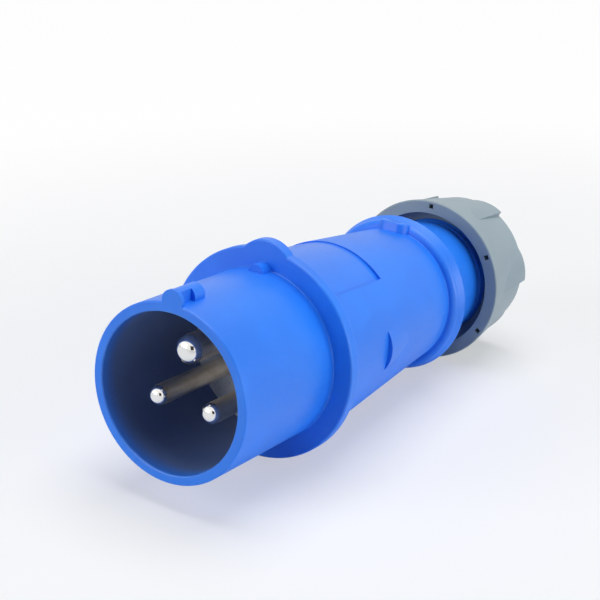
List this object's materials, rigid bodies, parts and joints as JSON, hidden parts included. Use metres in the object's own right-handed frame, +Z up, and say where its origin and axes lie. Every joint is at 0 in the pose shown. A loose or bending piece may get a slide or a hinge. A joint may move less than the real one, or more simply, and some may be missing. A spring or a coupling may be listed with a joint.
{
  "type": "industrial pin and sleeve plug",
  "caption": "Straight industrial plug: keyed round collar over two line contacts and a thicker earth contact, flange, tapered grip, and a gland nut with six grip waves and a cable inlet.",
  "frame": {"origin": "centre of the bounding box on the ground: on the plug's axis seen from above, half way along its length, at the flange's lowest point", "axes": "+Y along the plug from the collar's rim to the gland nut, where the cable leaves; +Z up through the key; +X to the right when looking along +Y"},
  "size_m": [0.054, 0.145, 0.0562],
  "materials": {
    "shell_plastic": "satin moulded blue",
    "grip_plastic": "satin moulded blue",
    "carrier_plastic": "light grey moulded",
    "contact_metal": "polished, nickel plated",
    "screw_steel": "zinc plated",
    "leaf_brass": "bare",
    "seal_rubber": "matt black",
    "ring_plastic": "natural white moulded",
    "cage_plastic": "dark grey moulded",
    "nut_plastic": "satin moulded grey"
  },
  "bodies": {
    "plug_body": {"front_shell": "shell_plastic", "handle_housing": "grip_plastic", "contact_carrier": "carrier_plastic", "carrier_cover": "carrier_plastic", "earth_pin": "contact_metal", "live_pin": "contact_metal", "neutral_pin": "contact_metal", "earth_terminal_screw": "screw_steel", "line_terminal_screws": "screw_steel", "earth_wire_leaf": "leaf_brass", "live_wire_leaf": "leaf_brass", "neutral_wire_leaf": "leaf_brass", "carrier_screws": "screw_steel", "housing_seal": "seal_rubber", "cable_seal_outer": "seal_rubber", "cable_seal_inner": "seal_rubber", "seal_washer": "ring_plastic", "clamping_cage": "cage_plastic"},
    "thrust_ring": {"pressure_ring": "ring_plastic"},
    "nut": {"gland_nut": "nut_plastic"}
  },
  "joints": [
    {"name": "ring_slide", "type": "slide", "parent": "plug_body", "child": "thrust_ring", "axis": [0, 1, 0], "range_m": [-0.00376, 0.00564]},
    {"name": "nut_turn", "type": "hinge", "parent": "thrust_ring", "child": "nut", "pos_m": [0, 0.06, 0.027], "axis": [0, 1, 0], "range_deg": [-540, 810]}
  ],
  "couplings": [
    {"joint": "ring_slide", "follows": "nut_turn", "m_per_rad": 0.00039789}
  ]
}
